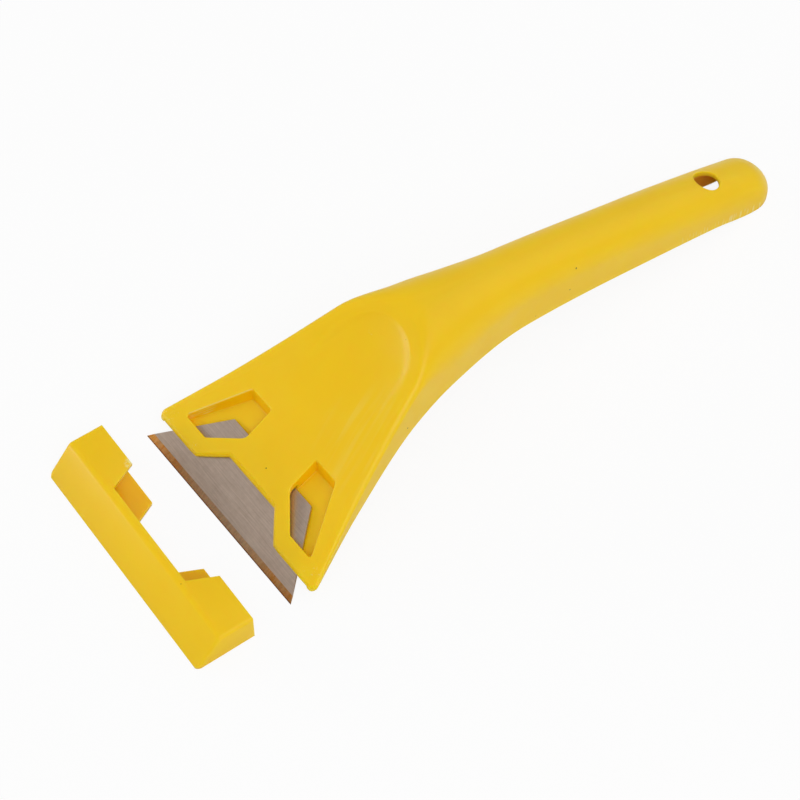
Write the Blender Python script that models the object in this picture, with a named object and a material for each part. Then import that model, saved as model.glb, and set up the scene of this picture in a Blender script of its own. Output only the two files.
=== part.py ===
"""Plastic window scraper: a moulded holder with its handle, a steel blade in the slot, and a pull-off blade guard."""

import math

import bmesh
import bpy
from mathutils import Vector

# Lengths are metres. Reach is the distance back from the cutting edge, height the distance above the table.
# The tool stands on its cutting edge and on the foot under the end of its handle.
BLADE_SLOPE = math.radians(27.1)
PLATE_SLOPE = math.radians(32.0)
PLATE_RISE = 0.0009

# Blade: a trapezoid ground from both sides to one edge
BLADE_EDGE = 0.060
BLADE_BACK = 0.0314
BLADE_DEPTH = 0.019
BLADE_THICKNESS = 0.0006
BLADE_GRIND = 0.0017
BLADE_CLEARANCE = 0.0003
BLADE_PAD = 0.0004
BLADE_SIDE_PLAY = 0.0005
BLADE_OFFSET = -0.00025

# Front of the head, where the plate ends over the blade
FRONT_REACH = 0.0048
FRONT_WIDTH = 0.0648
FRONT_FLOOR = 0.0021
FRONT_ROUND = 0.0009
CORNER_ROUND = 0.0018

# Shoulder of the head, just behind the windows
SHOULDER_REACH = 0.024
SHOULDER_WIDTH = 0.0487
SHOULDER_FLOOR = 0.0099
SHOULDER_ROUND = 0.0020

# Neck, where the plate starts to turn over into the handle
NECK_REACH = 0.048
NECK_WIDTH = 0.0322
NECK_HEIGHT = 0.0303
NECK_FLOOR = 0.0169
NECK_ROUND = 0.0021

# Crest, the highest point of the tool
CREST_REACH = 0.0612
CREST_WIDTH = 0.0258
CREST_HEIGHT = 0.0369
CREST_FLOOR = 0.0179
CREST_ROUND = 0.0107

# Throat, where the handle has its full crown
THROAT_REACH = 0.088
THROAT_WIDTH = 0.0168
THROAT_HEIGHT = 0.0324
THROAT_FLOOR = 0.0151

# Grip, the middle of the handle
GRIP_REACH = 0.125
GRIP_WIDTH = 0.0150
GRIP_HEIGHT = 0.0233
GRIP_FLOOR = 0.0086

# Tail, round the hanging hole
TAIL_REACH = 0.152
TAIL_WIDTH = 0.0151
TAIL_HEIGHT = 0.0154
TAIL_FLOOR = 0.0037

# Foot, where the lower edge of the handle comes down to the table, and the rounded end behind it
FOOT_REACH = 0.168
END_REACH = 0.1751
END_WIDTH = 0.0149
END_HEIGHT = 0.0078

# Walls of the moulding, which is open underneath
SKIRT_WALL = 0.0020
SHOULDER_ROOF = 0.0026
NECK_ROOF = 0.0056
CREST_ROOF = 0.0050
HANDLE_ROOF = 0.0022
RIB_THICKNESS = 0.0014
RIB_RECESS = 0.0030
RIB_PLACE_SHARES = (0.40, 0.51, 0.62, 0.73)
STOP_THICKNESS = 0.0016

# Two windows over the blade, each with a well under it that carries the blade
WINDOW_INNER = 0.0091
WINDOW_HEEL = 0.0167
WINDOW_OUTER = 0.0256
WINDOW_TOE = 0.0175
WINDOW_FRONT = 0.0090
WINDOW_WAIST = 0.0152
WINDOW_REAR = 0.0231
WELL_WALL = 0.0012
WELL_FLOOR = 0.0012
PLATE_SKIN = 0.0003

# Recess in the middle of the plate's front edge
RECESS_REACH = 0.0102
RECESS_WIDTH = 0.0184
RECESS_MOUTH = 0.0320

# Thumb scoop behind the plate: a shallow egg, longer towards the blade
SCOOP_REACH = 0.042
SCOOP_WIDTH = 0.0320
SCOOP_REAR = 0.0158
SCOOP_FRONT = 0.0185
SCOOP_DEPTH = 0.0050
SCOOP_LIFT = 0.0024

# Hanging hole through the crown of the handle
HOLE_REACH = 0.1542
HOLE_DIAMETER = 0.0068

# Guard, a wedge-nosed cap that is open at the back and cut away in the middle
GUARD_LENGTH = 0.0672
GUARD_DEPTH = 0.0163
GUARD_NOSE = 0.0067
GUARD_HEIGHT = 0.0100
GUARD_REAR_HEIGHT = 0.0086
GUARD_WALL = 0.0011
GUARD_ROUND = 0.0010
GUARD_BRIDGE = 0.0088
FLAP_GAP_FRONT = 0.0316
FLAP_GAP_REAR = 0.0384
TAB_GAP_FRONT = 0.0157
TAB_GAP_REAR = 0.0228
GUARD_OFFSET = -0.00206
GUARD_AWAY = 0.02680
GUARD_TURN = math.radians(-1.8)

# Cuts run past the faces that they open by this much
OVERRUN = 0.004

# Counts of the lofted sections, and of the steps in their arcs
CORNER_SECTIONS = 4
HEAD_SECTIONS = 12
NECK_SECTIONS = 14
HANDLE_SECTIONS = 13
ROUNDING_SECTIONS = 6
ARC_STEPS = 8
FULL_CROWN_SHARE = 0.94
HOLE_SEGMENTS = 40
SCOOP_SEGMENTS = 36
SCOOP_RINGS = 20

YELLOW = (0.855, 0.539, 0.014)
GUARD_YELLOW = (0.871, 0.565, 0.017)
STEEL = (0.343, 0.283, 0.238)


def smooth_through(places, values):
    """A smooth curve through the stations, with no overshoot between two of them."""
    runs = [b - a for a, b in zip(places, places[1:])]
    rises = [(b - a) / run for a, b, run in zip(values, values[1:], runs)]
    slopes = [rises[0]]
    for before, after in zip(rises, rises[1:]):
        turning = before * after <= 0
        slopes.append(0 if turning else 2 * before * after / (before + after))
    slopes.append(rises[-1])

    def value_at(place):
        index = sum(place > knot for knot in places[1:-1])
        run = runs[index]
        t = (place - places[index]) / run
        start = values[index] * (1 + 2 * t) * (1 - t) ** 2
        finish = values[index + 1] * t * t * (3 - 2 * t)
        leave = slopes[index] * run * t * (1 - t) ** 2
        arrive = slopes[index + 1] * run * t * t * (t - 1)
        return start + finish + leave + arrive

    return value_at


def plate_height(reach):
    """Top face of the head's plate, and its extension."""
    return PLATE_RISE + reach * math.tan(PLATE_SLOPE)


def blade_height(reach, offset):
    """A plane along the blade, offset square to its middle plane."""
    return reach * math.tan(BLADE_SLOPE) + offset / math.cos(BLADE_SLOPE)


# Reach, width, height, lower edge, crown rounding and roof at each station along the tool
STATIONS = (
    (FRONT_REACH, FRONT_WIDTH, plate_height(FRONT_REACH), FRONT_FLOOR, FRONT_ROUND, SHOULDER_ROOF),
    (SHOULDER_REACH, SHOULDER_WIDTH, plate_height(SHOULDER_REACH), SHOULDER_FLOOR, SHOULDER_ROUND, SHOULDER_ROOF),
    (NECK_REACH, NECK_WIDTH, NECK_HEIGHT, NECK_FLOOR, NECK_ROUND, NECK_ROOF),
    (CREST_REACH, CREST_WIDTH, CREST_HEIGHT, CREST_FLOOR, CREST_ROUND, CREST_ROOF),
    (THROAT_REACH, THROAT_WIDTH, THROAT_HEIGHT, THROAT_FLOOR, THROAT_WIDTH / 2, HANDLE_ROOF),
    (GRIP_REACH, GRIP_WIDTH, GRIP_HEIGHT, GRIP_FLOOR, GRIP_WIDTH / 2, HANDLE_ROOF),
    (TAIL_REACH, TAIL_WIDTH, TAIL_HEIGHT, TAIL_FLOOR, TAIL_WIDTH / 2, HANDLE_ROOF),
    (END_REACH, END_WIDTH, END_HEIGHT, 0, END_WIDTH / 2, HANDLE_ROOF),
)
REACHES, WIDTHS, TOPS, FLOORS, ROUNDS, ROOFS = zip(*STATIONS)

width_at = smooth_through(REACHES, WIDTHS)
top_at = smooth_through(REACHES, TOPS)
floor_at = smooth_through(REACHES[:-1] + (FOOT_REACH, END_REACH), FLOORS[:-1] + (0, 0))
round_at = smooth_through(REACHES, ROUNDS)
roof_at = smooth_through(REACHES, ROOFS)

BLADE_HALF_SLOT = BLADE_THICKNESS / 2 + BLADE_CLEARANCE
STOP_REACH = BLADE_DEPTH * math.cos(BLADE_SLOPE) + BLADE_HALF_SLOT


def clear_scene():
    for thing in list(bpy.data.objects):
        bpy.data.objects.remove(thing)


def plain_material(name, colour, roughness, metallic):
    made = bpy.data.materials.new(name)
    made.use_nodes = True
    shader = made.node_tree.nodes["Principled BSDF"]
    shader.inputs["Base Color"].default_value = (*colour, 1)
    shader.inputs["Roughness"].default_value = roughness
    shader.inputs["Metallic"].default_value = metallic
    return made


def finish_object(name, bm, parent):
    """Turns a bmesh into an object whose faces point outwards."""
    bmesh.ops.recalc_face_normals(bm, faces=bm.faces)
    mesh = bpy.data.meshes.new(name)
    bm.to_mesh(mesh)
    bm.free()
    mesh.shade_smooth()
    mesh.set_sharp_from_angle(angle=math.radians(35))
    thing = bpy.data.objects.new(name, mesh)
    thing.parent = parent
    bpy.context.scene.collection.objects.link(thing)
    return thing


def combine(target, helper, operation):
    """Cuts or joins a helper shape, which itself stays out of the model."""
    helper.hide_render = True
    helper.display_type = "WIRE"
    step = target.modifiers.new(helper.name, "BOOLEAN")
    step.operation = operation
    step.object = helper
    step.solver = "EXACT"


def section(reach, top, floor, half_width, rounding):
    """One upright section of a crowned channel, from its lower left corner over the crown to its lower right."""
    points = [Vector((-half_width, reach, floor))]
    for side in (-1, 1):
        for step in range(ARC_STEPS + 1):
            turn = step / ARC_STEPS if side < 0 else 1 - step / ARC_STEPS
            angle = turn * math.pi / 2
            across = half_width - rounding * (1 - math.cos(angle))
            height = top - rounding * (1 - math.sin(angle))
            points.append(Vector((side * across, reach, height)))
    points.append(Vector((half_width, reach, floor)))
    return points


def body_section(reach, inset, roof, floor, top=None):
    """A section of the moulding, drawn in by a wall at its sides and by a roof at its top."""
    half_width = width_at(reach) / 2 - inset
    corner = max(FRONT_REACH + CORNER_ROUND - reach, 0)
    half_width -= CORNER_ROUND - math.sqrt(CORNER_ROUND**2 - min(corner, CORNER_ROUND) ** 2)
    rounding = min(max(round_at(reach) - inset, FRONT_ROUND), FULL_CROWN_SHARE * half_width)
    top = top_at(reach) - roof if top is None else top
    return section(reach, top, floor, half_width, rounding)


def end_sections(inset, roof, floor):
    """The handle's rounded end: its side walls close in, and its crown comes down with them."""
    radius = END_WIDTH / 2 - inset
    centre = END_REACH - END_WIDTH / 2
    springing = top_at(centre) - roof - FULL_CROWN_SHARE * radius
    made = []
    for step in range(1, ROUNDING_SECTIONS + 1):
        angle = math.radians(86) * step / ROUNDING_SECTIONS
        half_width = radius * math.cos(angle)
        crown = FULL_CROWN_SHARE * half_width
        drop = (top_at(centre) - top_at(END_REACH)) * math.sin(angle)
        made.append(section(centre + radius * math.sin(angle), springing - drop + crown, floor, half_width, crown))
    return made


def spread(first, last, count):
    return [first + (last - first) * index / count for index in range(count + 1)]


def handle_reaches():
    """Places of the sections from just behind the neck to the start of the rounded end."""
    bend = spread(NECK_REACH, THROAT_REACH, NECK_SECTIONS)
    straight = spread(THROAT_REACH, END_REACH - END_WIDTH / 2, HANDLE_SECTIONS)
    return bend[1:] + straight[1:]


def loft(name, sections, parent):
    """A closed solid through sections that have the same number of points."""
    bm = bmesh.new()
    loops = []
    for points in sections:
        corners = [bm.verts.new(point) for point in points]
        loops.append([bm.edges.new(pair) for pair in zip(corners, corners[1:] + corners[:1])])
    for loop, following in zip(loops, loops[1:]):
        bmesh.ops.bridge_loops(bm, edges=loop + following)
    for loop in (loops[0], loops[-1]):
        bmesh.ops.contextual_create(bm, geom=loop)
    return finish_object(name, bm, parent)


def prism(name, outline, lower, upper, parent):
    """A plan outline drawn straight up between two heights, each a function of the reach."""
    bm = bmesh.new()
    base = bm.faces.new([bm.verts.new((across, reach, lower(reach))) for across, reach in outline])
    grown = bmesh.ops.extrude_face_region(bm, geom=[base])["geom"]
    for corner in grown:
        if isinstance(corner, bmesh.types.BMVert):
            corner.co.z = upper(corner.co.y)
    return finish_object(name, bm, parent)


def offset_outline(outline, distance):
    """Moves each side of a closed outline outwards, or inwards for a negative distance."""
    points = [Vector(point) for point in outline]
    area = sum(a.x * b.y - b.x * a.y for a, b in zip(points, points[1:] + points[:1]))
    facing = 1 if area > 0 else -1
    moved = []
    for before, here, after in zip(points[-1:] + points[:-1], points, points[1:] + points[:1]):
        arriving = (here - before).normalized()
        leaving = (after - here).normalized()
        first = Vector((arriving.y, -arriving.x)) * facing
        second = Vector((leaving.y, -leaving.x)) * facing
        moved.append(here + (first + second) * (distance / (1 + first.dot(second))))
    return moved


def window_outline(side):
    """Plan of one window, an arrow-like pentagon that widens towards the blade's tip."""
    return [
        (side * WINDOW_OUTER, WINDOW_FRONT),
        (side * WINDOW_HEEL, WINDOW_REAR),
        (side * WINDOW_INNER, WINDOW_REAR),
        (side * WINDOW_INNER, WINDOW_WAIST),
        (side * WINDOW_TOE, WINDOW_FRONT),
    ]


def well_floor_height(reach):
    return blade_height(reach, -BLADE_HALF_SLOT)


def add_body_shell(parent):
    """The outer shape: a plate that widens to the blade, turned over at the crest into a crowned handle."""
    corner = spread(FRONT_REACH, FRONT_REACH + CORNER_ROUND, CORNER_SECTIONS)
    head = spread(FRONT_REACH + CORNER_ROUND, NECK_REACH, HEAD_SECTIONS)
    reaches = corner + head[1:] + handle_reaches()
    sections = [body_section(reach, 0, 0, floor_at(reach)) for reach in reaches]
    return loft("scraper_body", sections + end_sections(0, 0, 0), parent)


def cut_blade_bay(body, parent):
    """Room under the front of the plate, up to the face that the blade lies against."""
    reaches = spread(FRONT_REACH - OVERRUN, STOP_REACH, 6)
    sections = []
    for reach in reaches:
        roof = blade_height(reach, BLADE_HALF_SLOT + BLADE_PAD)
        inside = max(reach, FRONT_REACH + CORNER_ROUND)
        half_width = width_at(inside) / 2 - SKIRT_WALL
        sections.append(section(reach, roof, floor_at(inside) - 2 * OVERRUN, half_width, PLATE_SKIN))
    combine(body, loft("blade_bay", sections, parent), "DIFFERENCE")


def cut_handle_channel(body, parent):
    """The long hollow under the neck and the handle."""
    first = STOP_REACH + STOP_THICKNESS
    reaches = spread(first, NECK_REACH, HEAD_SECTIONS) + handle_reaches()
    sections = [body_section(reach, SKIRT_WALL, roof_at(reach), floor_at(reach) - OVERRUN) for reach in reaches]
    sections += end_sections(SKIRT_WALL, HANDLE_ROOF, -OVERRUN)
    combine(body, loft("handle_channel", sections, parent), "DIFFERENCE")


def add_ribs(body, parent):
    """Cross ribs in the handle's channel, set back from its lower edge."""
    for number, share in enumerate(RIB_PLACE_SHARES, 1):
        reach = share * END_REACH
        sections = []
        for place in (reach, reach + RIB_THICKNESS):
            inset = SKIRT_WALL / 2
            sections.append(body_section(place, inset, roof_at(place) / 2, floor_at(place) + RIB_RECESS))
        combine(body, loft(f"cross_rib_{number}", sections, parent), "UNION")


def add_wells(body, parent):
    """Wells that hang from the plate round each window and carry the blade on their floors."""
    for name, side in (("left", -1), ("right", 1)):
        outline = offset_outline(window_outline(side), WELL_WALL)
        well = prism(
            f"well_{name}",
            outline,
            lambda reach: well_floor_height(reach) - WELL_FLOOR,
            lambda reach: plate_height(reach) - PLATE_SKIN,
            parent,
        )
        combine(body, well, "UNION")


def cut_windows(body, parent):
    for name, side in (("left", -1), ("right", 1)):
        window = prism(
            f"window_{name}",
            window_outline(side),
            well_floor_height,
            lambda reach: plate_height(reach) + OVERRUN,
            parent,
        )
        combine(body, window, "DIFFERENCE")


def cut_blade_slot(body, parent):
    """A flat slot along the blade, open at the front, that the blade slides out of."""
    taper = (BLADE_EDGE - BLADE_BACK) / 2 / BLADE_DEPTH
    front = -OVERRUN
    half_front = BLADE_EDGE / 2 + BLADE_SIDE_PLAY + taper * OVERRUN
    half_back = BLADE_BACK / 2 + BLADE_SIDE_PLAY
    outline = [(-half_front, front), (half_front, front), (half_back, STOP_REACH), (-half_back, STOP_REACH)]
    lower = lambda reach: blade_height(reach, -BLADE_HALF_SLOT)
    upper = lambda reach: blade_height(reach, BLADE_HALF_SLOT)
    combine(body, prism("blade_slot", outline, lower, upper, parent), "DIFFERENCE")


def cut_recess(body, parent):
    """The notch in the front edge, with slanted sides, that shows the middle of the blade."""
    outline = [
        (-RECESS_MOUTH / 2, FRONT_REACH - OVERRUN),
        (RECESS_MOUTH / 2, FRONT_REACH - OVERRUN),
        (RECESS_MOUTH / 2, FRONT_REACH),
        (RECESS_WIDTH / 2, RECESS_REACH),
        (-RECESS_WIDTH / 2, RECESS_REACH),
        (-RECESS_MOUTH / 2, FRONT_REACH),
    ]
    upper = lambda reach: plate_height(reach) + OVERRUN
    combine(body, prism("front_recess", outline, lambda reach: -OVERRUN, upper, parent), "DIFFERENCE")


def cut_scoop(body, parent):
    bm = bmesh.new()
    bmesh.ops.create_uvsphere(bm, u_segments=SCOOP_SEGMENTS, v_segments=SCOOP_RINGS, radius=1)
    for corner in bm.verts:
        along = SCOOP_REAR if corner.co.y > 0 else SCOOP_FRONT
        corner.co = Vector((corner.co.x * SCOOP_WIDTH / 2, corner.co.y * along, corner.co.z * SCOOP_DEPTH))
    scoop = finish_object("thumb_scoop", bm, parent)
    lift = Vector((0, -math.sin(PLATE_SLOPE), math.cos(PLATE_SLOPE))) * SCOOP_LIFT
    scoop.location = Vector((0, SCOOP_REACH, plate_height(SCOOP_REACH))) + lift
    scoop.rotation_euler.x = PLATE_SLOPE
    combine(body, scoop, "DIFFERENCE")


def cut_hanging_hole(body, parent):
    height = top_at(HOLE_REACH) + 2 * OVERRUN
    bm = bmesh.new()
    bmesh.ops.create_cone(
        bm,
        cap_ends=True,
        segments=HOLE_SEGMENTS,
        radius1=HOLE_DIAMETER / 2,
        radius2=HOLE_DIAMETER / 2,
        depth=height,
    )
    hole = finish_object("hanging_hole", bm, parent)
    hole.location = (0, HOLE_REACH, height / 2 - OVERRUN)
    combine(body, hole, "DIFFERENCE")


def make_body(parent):
    body = add_body_shell(parent)
    body.data.materials.append(plain_material("yellow_moulding", YELLOW, 0.38, 0))
    cut_blade_bay(body, parent)
    cut_handle_channel(body, parent)
    add_ribs(body, parent)
    add_wells(body, parent)
    cut_windows(body, parent)
    cut_blade_slot(body, parent)
    cut_recess(body, parent)
    cut_scoop(body, parent)
    cut_hanging_hole(body, parent)
    return body


def make_blade(parent):
    """The blade in its own flat frame, with the middle of its cutting edge as its origin."""
    taper = (BLADE_EDGE - BLADE_BACK) / 2 / BLADE_DEPTH
    shoulder = BLADE_EDGE / 2 - taper * BLADE_GRIND
    bm = bmesh.new()
    for side in (-1, 1):
        bm.verts.new((side * BLADE_EDGE / 2, 0, 0))
        for face in (-1, 1):
            height = face * BLADE_THICKNESS / 2
            bm.verts.new((side * shoulder, BLADE_GRIND, height))
            bm.verts.new((side * BLADE_BACK / 2, BLADE_DEPTH, height))
    bmesh.ops.convex_hull(bm, input=bm.verts)
    bmesh.ops.dissolve_limit(bm, angle_limit=math.radians(1), verts=bm.verts, edges=bm.edges)
    blade = finish_object("blade", bm, parent)
    blade.location.x = BLADE_OFFSET
    blade.rotation_euler.x = BLADE_SLOPE
    blade.data.materials.append(plain_material("blade_steel", STEEL, 0.35, 1))
    return blade


def guard_section():
    """Side outline of the guard: flat base, sloped nose, and a top that falls a little to the rear."""
    return [
        (0, 0),
        (GUARD_DEPTH, 0),
        (GUARD_DEPTH, GUARD_REAR_HEIGHT),
        (GUARD_NOSE, GUARD_HEIGHT),
    ]


def guard_bar(outline, length):
    """A side outline drawn across the guard, centred on it."""
    bm = bmesh.new()
    side = bm.faces.new([bm.verts.new((-length / 2, back, height)) for back, height in outline])
    grown = bmesh.ops.extrude_face_region(bm, geom=[side])["geom"]
    corners = [corner for corner in grown if isinstance(corner, bmesh.types.BMVert)]
    bmesh.ops.translate(bm, verts=corners, vec=(length, 0, 0))
    return bm


def cut_guard_cavity(guard, parent):
    outline = offset_outline(guard_section(), -GUARD_WALL)
    for corner in outline:
        if corner.x > GUARD_DEPTH / 2:
            corner.x = GUARD_DEPTH + OVERRUN
    cavity = guard_bar(outline, GUARD_LENGTH - 2 * GUARD_WALL)
    combine(guard, finish_object("guard_cavity", cavity, parent), "DIFFERENCE")


def cut_guard_gap(guard, name, gap_front, gap_rear, lower, upper, parent):
    """Cuts away the middle of one face behind the bridge, between slanted sides."""
    spreading = (gap_rear - gap_front) / (GUARD_DEPTH - GUARD_BRIDGE)
    mouth = gap_rear + spreading * OVERRUN
    outline = [
        (-gap_front / 2, GUARD_BRIDGE),
        (gap_front / 2, GUARD_BRIDGE),
        (mouth / 2, GUARD_DEPTH + OVERRUN),
        (-mouth / 2, GUARD_DEPTH + OVERRUN),
    ]
    combine(guard, prism(name, outline, lambda reach: lower, lambda reach: upper, parent), "DIFFERENCE")


def make_guard(parent):
    """The guard in its own frame, with the middle of its front lower edge as its origin."""
    place = bpy.data.objects.new("guard_place", None)
    place.parent = parent
    place.location = (GUARD_OFFSET, -GUARD_AWAY, 0)
    place.rotation_euler.z = GUARD_TURN
    bpy.context.scene.collection.objects.link(place)
    bar = guard_bar(guard_section(), GUARD_LENGTH)
    moulded = [edge for edge in bar.edges if min(corner.co.y for corner in edge.verts) < GUARD_DEPTH / 2]
    bmesh.ops.bevel(
        bar,
        geom=moulded,
        offset=GUARD_ROUND,
        segments=3,
        profile=0.5,
        affect="EDGES",
        material=-1,
    )
    guard = finish_object("blade_guard", bar, place)
    guard.data.materials.append(plain_material("guard_moulding", GUARD_YELLOW, 0.42, 0))
    middle = GUARD_REAR_HEIGHT / 2
    cut_guard_cavity(guard, place)
    cut_guard_gap(guard, "flap_gap", FLAP_GAP_FRONT, FLAP_GAP_REAR, middle, GUARD_HEIGHT + OVERRUN, place)
    cut_guard_gap(guard, "tab_gap", TAB_GAP_FRONT, TAB_GAP_REAR, -OVERRUN, middle, place)
    return guard


def centre_on_footprint(parent, pieces):
    """Moves the whole model so that the middle of its footprint on the table is the origin."""
    bpy.context.view_layer.update()
    graph = bpy.context.evaluated_depsgraph_get()
    corners = []
    for piece in pieces:
        solid = piece.evaluated_get(graph)
        corners += [solid.matrix_world @ corner.co for corner in solid.data.vertices]
    across = [corner.x for corner in corners]
    along = [corner.y for corner in corners]
    parent.location = (-(min(across) + max(across)) / 2, -(min(along) + max(along)) / 2, 0)
    bpy.context.view_layer.update()


def main():
    clear_scene()
    tool = bpy.data.objects.new("tool", None)
    bpy.context.scene.collection.objects.link(tool)
    pieces = [make_body(tool), make_blade(tool), make_guard(tool)]
    centre_on_footprint(tool, pieces)


main()
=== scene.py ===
import math

import bmesh
import bpy
from mathutils import Matrix, Vector


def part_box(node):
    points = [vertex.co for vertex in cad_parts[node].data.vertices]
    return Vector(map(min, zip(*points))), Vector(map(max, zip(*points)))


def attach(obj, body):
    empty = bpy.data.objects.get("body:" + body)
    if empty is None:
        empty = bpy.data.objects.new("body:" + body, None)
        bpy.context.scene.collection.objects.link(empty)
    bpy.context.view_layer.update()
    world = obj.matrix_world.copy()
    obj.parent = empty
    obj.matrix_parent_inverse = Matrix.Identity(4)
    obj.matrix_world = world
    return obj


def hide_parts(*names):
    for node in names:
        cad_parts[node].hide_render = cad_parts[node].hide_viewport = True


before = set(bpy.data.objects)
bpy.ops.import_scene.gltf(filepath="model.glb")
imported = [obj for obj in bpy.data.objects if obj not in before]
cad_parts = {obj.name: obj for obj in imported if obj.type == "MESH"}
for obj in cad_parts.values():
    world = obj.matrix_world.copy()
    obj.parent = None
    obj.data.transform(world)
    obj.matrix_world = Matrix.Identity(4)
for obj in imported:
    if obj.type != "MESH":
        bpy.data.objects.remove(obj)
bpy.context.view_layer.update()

# Lengths are metres. Reach is the distance back from the cutting edge, height the distance above the table.
BLADE_SLOPE = math.radians(27.1)
PLATE_SLOPE = math.radians(32.0)
PLATE_RISE = 0.0009

# The blade, and the play of its slot. The honed edge is a last, steeper pair of faces. Faces that turn by
# less than the flat angle are one face, and those that turn by more than the sharp angle meet sharply.
BLADE_EDGE = 0.060
BLADE_BACK = 0.0314
BLADE_DEPTH = 0.019
BLADE_THICKNESS = 0.0006
BLADE_GRIND = 0.0017
BLADE_CLEARANCE = 0.00016
BLADE_SIDE_PLAY = 0.0003
SLOT_STEP = 0.00002
SLOT_HEADROOM = 0.0003
FLAT_ANGLE = math.radians(1)
BLADE_SHARP_ANGLE = math.radians(3)
BLADE_OFFSET = -0.00025
HONE_WIDTH = 0.00016
HONE_THICKNESS = 0.0001

# Reaches of the holder along its length, and the width of its end
FRONT_REACH = 0.0048
NECK_REACH = 0.048
THROAT_REACH = 0.088
FOOT_REACH = 0.168
END_REACH = 0.1750
END_WIDTH = 0.0149


def plate_height(reach):
    """Top face of the head's plate, and its extension."""
    return PLATE_RISE + reach * math.tan(PLATE_SLOPE)


# Reach, width, height, lower edge, corner rounding and roof thickness of the holder at each station
STATIONS = (
    (FRONT_REACH, 0.0648, plate_height(FRONT_REACH), 0.0027, 0.0010, 0.0026),
    (0.024, 0.0487, plate_height(0.024), 0.0099, 0.0014, 0.0026),
    (NECK_REACH, 0.0322, 0.0303, 0.0169, 0.0022, 0.0056),
    (0.0612, 0.0258, 0.03688, 0.0179, 0.0107, 0.0050),
    (THROAT_REACH, 0.0168, 0.0324, 0.0151, 0.0084, 0.0018),
    (0.125, 0.0150, 0.0233, 0.0086, 0.0075, 0.0014),
    (0.152, 0.0151, 0.0154, 0.0037, 0.00755, 0.0014),
    (END_REACH, END_WIDTH, 0.0078, 0, 0.00745, 0.0014),
)
FULL_CROWN_SHARE = 0.94
CORNER_ROUND = 0.0014
FRONT_EASE = 0.0008
SKIRT_WALL = 0.0020
HANDLE_WALL = 0.0014
PLATE_SKIN = 0.0003
RIB_THICKNESS = 0.0014
RIB_RECESS = 0.0030
RIB_PLACE_SHARES = (0.40, 0.51, 0.62, 0.73)
STOP_THICKNESS = 0.0016

# Steps along the holder's outside, and where the close steps of the thumb scoop start and end
CORNER_STEPS = 14
HEAD_STEPS = 26
SCOOP_START = 0.030
SCOOP_STEPS = 90
SCOOP_END = 0.058
BEND_STEPS = 24
HANDLE_STEPS = 36
END_STEPS = 14
END_TURN = math.radians(88)
END_STRIP_SHARE = 0.9

# Steps along the hollow inside
BAY_STEPS = 6
NECK_STEPS = 12
HOLLOW_STEPS = 16
HOLLOW_END_STEPS = 8

# Steps round one upright section: wall, rounded corner, edge strip and plate, with the plate's points closer
# together towards its edges
WALL_STEPS = 6
ARC_STEPS = 12
STRIP_STEPS = 5
PLATE_STEPS = 110
PLATE_CROWDING = 0.08

# Angles of the steps round a lip at a rim and round a fillet at a floor
LIP_ANGLES = (72, 54, 36, 18, 0)
FILLET_ANGLES = (0, 30, 60, 90)

# Edge strip of the plate: reach, distance of its inner line from the edge, and its fall towards the edge
STRIP_STATIONS = (
    (FRONT_REACH, 0.0027, 0.00012),
    (0.018, 0.0026, 0.00014),
    (0.026, 0.0032, 0.00016),
    (0.034, 0.0052, 0.00016),
    (0.041, 0.0068, 0.00010),
    (0.052, 0.0070, 0),
    (THROAT_REACH, 0.0050, 0),
)

# Windows, by their corners' distances from the middle and from the cutting edge, and the wells under them
WINDOW_INNER = 0.0091
WINDOW_HEEL = 0.0167
WINDOW_OUTER = 0.0256
WINDOW_TOE = 0.0175
WINDOW_FRONT = 0.0090
WINDOW_WAIST = 0.0152
WINDOW_REAR = 0.0231
WINDOW_CORNER = 0.0005
WINDOW_LIP = 0.00045
WELL_WALL = 0.0012
WELL_FLOOR = 0.0012
WELL_FILLET = 0.00028
WELL_DROP = 0.00025

# Recess in the front edge
RECESS_REACH = 0.0104
RECESS_WIDTH = 0.0184
RECESS_MOUTH = 0.0322
RECESS_CORNER = 0.0009
RECESS_LIP = 0.0008

# Thumb scoop: an egg with a sharp rim at the back that fades out towards the blade
SCOOP_REACH = 0.0432
SCOOP_REAR = 0.0112
SCOOP_FRONT = 0.0200
SCOOP_HALF_WIDTH = 0.0122
SCOOP_SPREAD = 0.0040
SCOOP_DEPTH = 0.0019
SCOOP_STEEPNESS = 20
SCOOP_STEEP_SHARE = 0.18

# Flat border round the back of the scoop: its size as a share of the scoop's, and its fall towards the scoop
BORDER_SHARE = 1.24
BORDER_FALL = 0.00025

# Hanging hole
HOLE_REACH = 0.1542
HOLE_DIAMETER = 0.0068
HOLE_LIP = 0.0004
HOLE_STEPS = 48

# Guard: its sizes, its roundings, the gaps in its top and base, and where and how it lies before the blade
GUARD_LENGTH = 0.0665
GUARD_DEPTH = 0.0163
GUARD_NOSE = 0.0071
GUARD_HEIGHT = 0.0087
GUARD_REAR_HEIGHT = 0.0086
GUARD_WALL = 0.0011
GUARD_CORNER = 0.0026
GUARD_ROUND = 0.0008
GUARD_END_ROUND = 0.0010
GUARD_REAR_ROUND = 0.0003
GUARD_BRIDGE = 0.0090
FLAP_GAP_FRONT = 0.0316
FLAP_GAP_REAR = 0.0384
TAB_GAP_FRONT = 0.0157
TAB_GAP_REAR = 0.0228
GUARD_OFFSET = -0.00198
GUARD_AWAY = 0.02680
GUARD_TURN = math.radians(-1.8)
GUARD_ROUND_STEPS = 5
GUARD_PLAN_STEPS = 8
TRIM_ROUND = 0.00012
TRIM_STEPS = 2
TRIM_ANGLE = math.radians(40)

# A cut runs past the surface by the overrun. A shading edge is sharp from the sharp angle on.
OVERRUN = 0.004
PLAN_PLAY = 0.00002
SHARP_ANGLE = math.radians(38)

# A pattern is given as its repeats to the millimetre
MM = 0.001

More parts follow.
